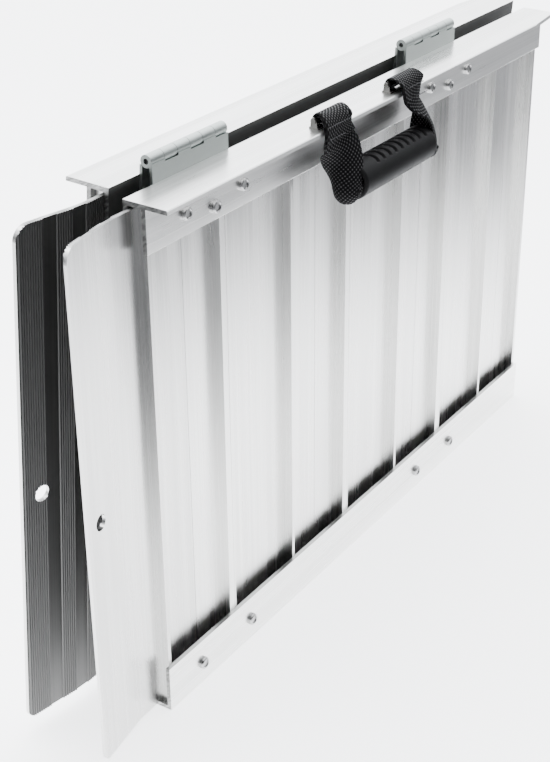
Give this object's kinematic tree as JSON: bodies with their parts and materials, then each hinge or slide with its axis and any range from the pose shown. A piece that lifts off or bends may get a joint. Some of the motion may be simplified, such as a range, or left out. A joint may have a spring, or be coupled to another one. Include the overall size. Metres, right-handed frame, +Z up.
{
  "type": "portable wheelchair ramp",
  "caption": "Folding access ramp: two ribbed extruded aluminium panels joined by butt hinges along one edge, with bent lips at one end and a webbing carrying handle.",
  "frame": {"origin": "middle of the front side rail's underside, the face that the folded ramp stands on", "axes": "+X along the hinge line away from the lips, -Y towards the handle side, +Z up"},
  "size_m": [0.61, 0.1084, 0.3823],
  "materials": {
    "rail_aluminium": "mill-finish extrusion, streaked along its length",
    "plank_aluminium": "mill-finish extrusion, streaked along its length",
    "hinge_steel": "zinc plated, slightly green",
    "pin_steel": "dull",
    "bolt_steel": "zinc plated",
    "nut_steel": "zinc plated",
    "loop_steel": "bright nickel plate",
    "webbing": "coarse woven polypropylene",
    "grip_plastic": "moulded, softly shiny"
  },
  "bodies": {
    "front_panel": {"front_centre_rail": "rail_aluminium", "front_side_rail": "rail_aluminium", "front_lip_plank": "plank_aluminium", "front_plank_a": "plank_aluminium", "front_plank_b": "plank_aluminium", "front_plank_c": "plank_aluminium", "front_end_plank": "plank_aluminium", "front_leaf_left": "hinge_steel", "front_leaf_right": "hinge_steel", "front_hinge_bolts": "bolt_steel", "front_hinge_nuts": "nut_steel", "front_side_bolts": "bolt_steel", "front_side_nuts": "nut_steel", "hinge_pin_left": "pin_steel", "hinge_pin_right": "pin_steel", "loop_bracket_left": "loop_steel", "loop_bracket_right": "loop_steel", "loop_pins": "loop_steel", "loop_rivets": "loop_steel"},
    "rear_panel": {"rear_centre_rail": "rail_aluminium", "rear_side_rail": "rail_aluminium", "rear_lip_plank": "plank_aluminium", "rear_plank_a": "plank_aluminium", "rear_plank_b": "plank_aluminium", "rear_plank_c": "plank_aluminium", "rear_end_plank": "plank_aluminium", "rear_leaf_left": "hinge_steel", "rear_leaf_right": "hinge_steel", "rear_hinge_bolts": "bolt_steel", "rear_hinge_nuts": "nut_steel", "rear_side_bolts": "bolt_steel", "rear_side_nuts": "nut_steel"},
    "handle": {"handle_strap": "webbing", "handle_grip": "grip_plastic"}
  },
  "joints": [
    {"name": "fold", "type": "hinge", "parent": "front_panel", "child": "rear_panel", "pos_m": [0, 0.01265, 0.3782], "axis": [1, 0, 0], "range_deg": [-4.75, 175.25]},
    {"name": "handle_swing", "type": "hinge", "parent": "front_panel", "child": "handle", "pos_m": [-0.0362, -0.01585, 0.36985], "axis": [-1, 0, 0], "range_deg": [0, 110]}
  ]
}
